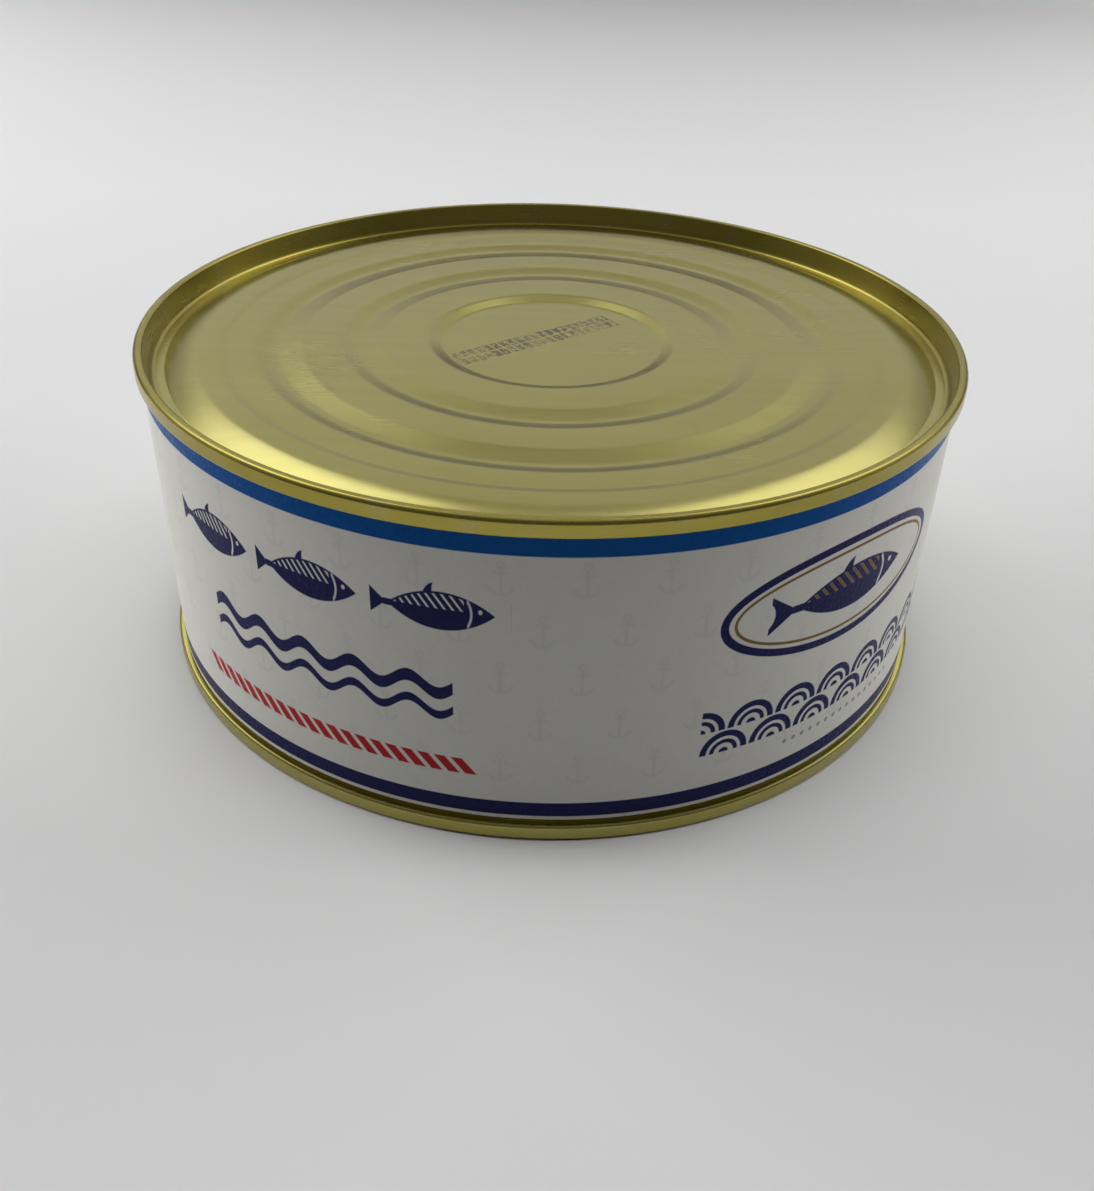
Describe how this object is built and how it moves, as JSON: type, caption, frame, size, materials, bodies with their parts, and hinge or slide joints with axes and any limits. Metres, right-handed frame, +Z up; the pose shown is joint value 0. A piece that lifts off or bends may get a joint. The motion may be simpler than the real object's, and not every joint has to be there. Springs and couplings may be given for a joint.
{
  "type": "mackerel can",
  "caption": "Large low round tinplate fish can, shut, with ringed ends, double seams and a paper label wrapped around its side.",
  "frame": {"origin": "on the can's axis, at the plane the bottom seam stands on", "axes": "+Z up along the can's axis, through the top end; -Y towards the front of the label"},
  "size_m": [0.1572, 0.1572, 0.0627],
  "materials": {
    "gold_tinplate_wall": "satin gold lacquer on tinplate",
    "gold_tinplate_top": "satin gold lacquer on tinplate",
    "gold_tinplate_bottom": "satin gold lacquer on tinplate",
    "printed_paper": "smooth coated paper, printed"
  },
  "bodies": {
    "root": {"can_body": "gold_tinplate_wall", "top_end": "gold_tinplate_top", "bottom_end": "gold_tinplate_bottom", "label": "printed_paper"}
  },
  "joints": []
}
